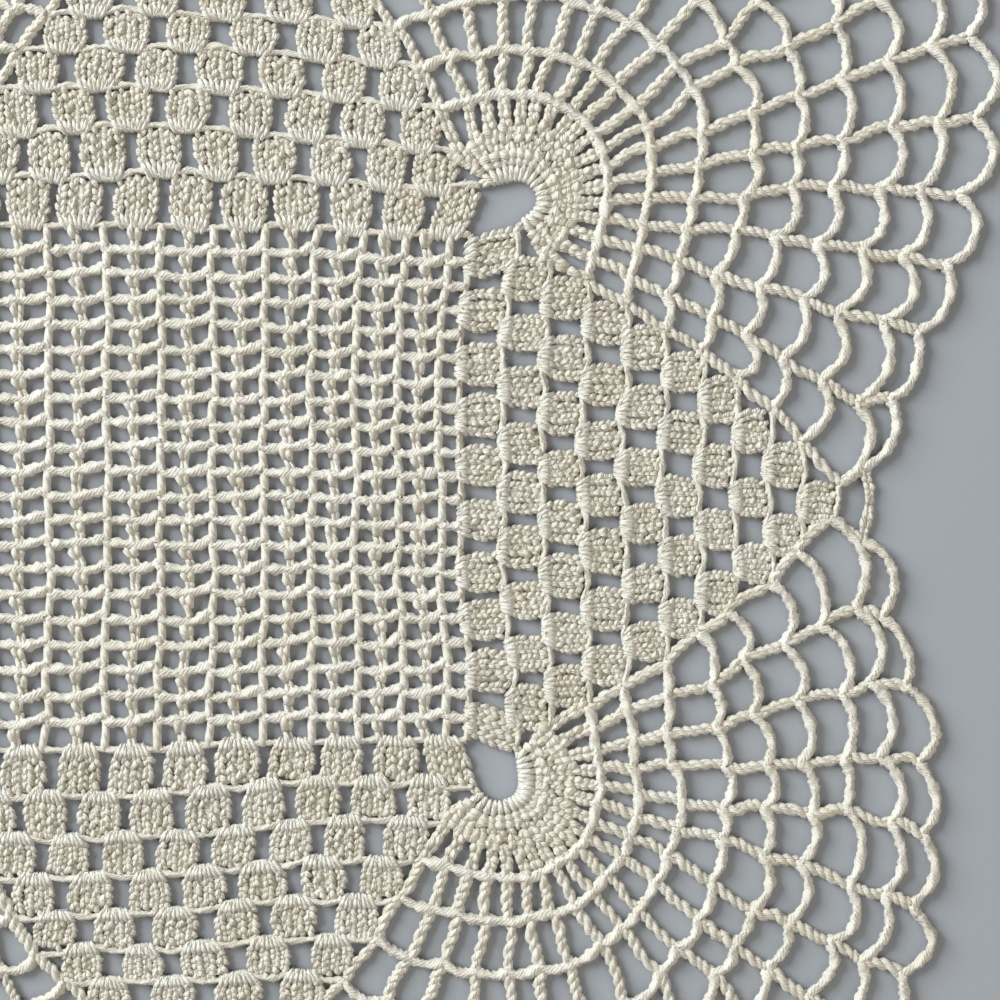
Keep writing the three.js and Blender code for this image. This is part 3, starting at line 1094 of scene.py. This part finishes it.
def side_area(quarter):
    """Flat area of one side's blocks and fan in square metres: inside the ends of the block rows, inside
    the middle of the fan's outermost cord and posts, and the outer half of these."""
    rows = range(1, LAST_ROUND + 1)
    ends = np.array([[row_edge(0), NET_HALF]] + [[row_edge(row), row_half_length(row)] for row in rows])
    blocks = turned(np.concatenate([ends, ends[::-1] * [1.0, -1.0]]), quarter)
    net = crossings[quarter]
    edge, _ = arcs(net[-1], ARC_BOW[-1], ARC_SIZE[-1], spread=0.0)
    mesh = np.concatenate([edge, net[-2:0:-1, -1], net[0, ::-1], net[1:-1, 0]])
    border = path_length(edge) + path_length(net[:, 0]) + path_length(net[:, -1])
    inside = outline_area(as_laid(blocks)) + outline_area(as_laid(mesh))
    return (inside + border / 2 * CHAIN_WIDTH) * MM**2


areas = {piece.name: side_area(quarter) for quarter, piece in enumerate(side_pieces)}
for piece in [filet_net, *side_pieces]:
    piece.data.materials.append(ivory_cotton)
    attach(piece, "root")
    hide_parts("doily")

# %% [markdown]
# ## Floor, light and camera
# The doily lies on a plain pale floor, seen from straight above. Ivory on white would hardly show, so
# the floor is a light cool grey. A large soft lamp at the upper left, low like a window, models the
# threads, and a weak warm one opposite keeps the shaded sides from going grey.

# %% Floor
FLOOR_HALF = 3.0
FLOOR_DROP = 0.05 * MM
FLOOR_GREY = (0.36, 0.38, 0.41, 1.0)
FLOOR_ROUGHNESS = 0.9
FLOOR_GLOSS = 0.1
floor_mesh = bpy.data.meshes.new("floor")
floor_corners = np.array([(-1, -1), (1, -1), (1, 1), (-1, 1)]) * FLOOR_HALF
floor_mesh.from_pydata([(x, y, -FLOOR_DROP) for x, y in floor_corners], [], [(0, 1, 2, 3)])
floor = bpy.data.objects.new("floor", floor_mesh)
bpy.context.collection.objects.link(floor)
floor_paper = bpy.data.materials.new("pale_floor")
floor_paper.use_nodes = True
floor_shader = floor_paper.node_tree.nodes["Principled BSDF"]
floor_shader.inputs["Base Color"].default_value = FLOOR_GREY
floor_shader.inputs["Roughness"].default_value = FLOOR_ROUGHNESS
floor_shader.inputs["Specular IOR Level"].default_value = FLOOR_GLOSS
floor_mesh.materials.append(floor_paper)
print("floor:", 2 * FLOOR_HALF, "m wide")

# %% Light
VIEW_CENTRE = np.array([0.0566, -0.0024, 0.0])
SKY_STRENGTH = 0.22


def soft_lamp(name, offset, size, power, colour):
    """A square area lamp at an offset from the view's centre, tipped from straight down and turned by
    the angles of the line back to it."""
    lamp = bpy.data.lights.new(name, "AREA")
    lamp.size = size
    lamp.energy = power
    lamp.color = colour
    holder = bpy.data.objects.new(name, lamp)
    holder.location = VIEW_CENTRE + np.array(offset)
    to_centre = -unit(np.array(offset))
    flat_reach = math.hypot(to_centre[0], to_centre[1])
    holder.rotation_euler = (
        math.atan2(flat_reach, -to_centre[2]),
        0.0,
        math.atan2(to_centre[1], to_centre[0]) - math.pi / 2,
    )
    bpy.context.collection.objects.link(holder)
    print(name, "lamp:", round(math.hypot(*offset), 2), "m away")


soft_lamp("window", offset=(-1.32, 0.76, 0.84), size=1.1, power=46.0, colour=(0.93, 0.98, 1.0))
soft_lamp("fill", offset=(1.0, -0.7, 1.3), size=1.4, power=11.2, colour=(1.0, 0.93, 0.82))
world = bpy.data.worlds.new("studio")
world.use_nodes = True
sky = world.node_tree.nodes["Background"]
sky.inputs["Color"].default_value = (1.0, 1.0, 1.0, 1.0)
sky.inputs["Strength"].default_value = SKY_STRENGTH
bpy.context.scene.world = world
bpy.context.scene.view_settings.view_transform = "Standard"

# %% Camera
VIEW_WIDTH = 0.2
LENS = 85.0
SENSOR = 36.0
NEAREST = 0.01
camera = bpy.data.cameras.new("overhead")
camera.lens = LENS
camera.sensor_width = SENSOR
camera.clip_start = NEAREST
overhead = bpy.data.objects.new("overhead", camera)
overhead.location = VIEW_CENTRE + np.array([0.0, 0.0, VIEW_WIDTH * LENS / SENSOR])
bpy.context.collection.objects.link(overhead)
bpy.context.scene.camera = overhead
print("camera height:", round(overhead.location[2], 3), "m")
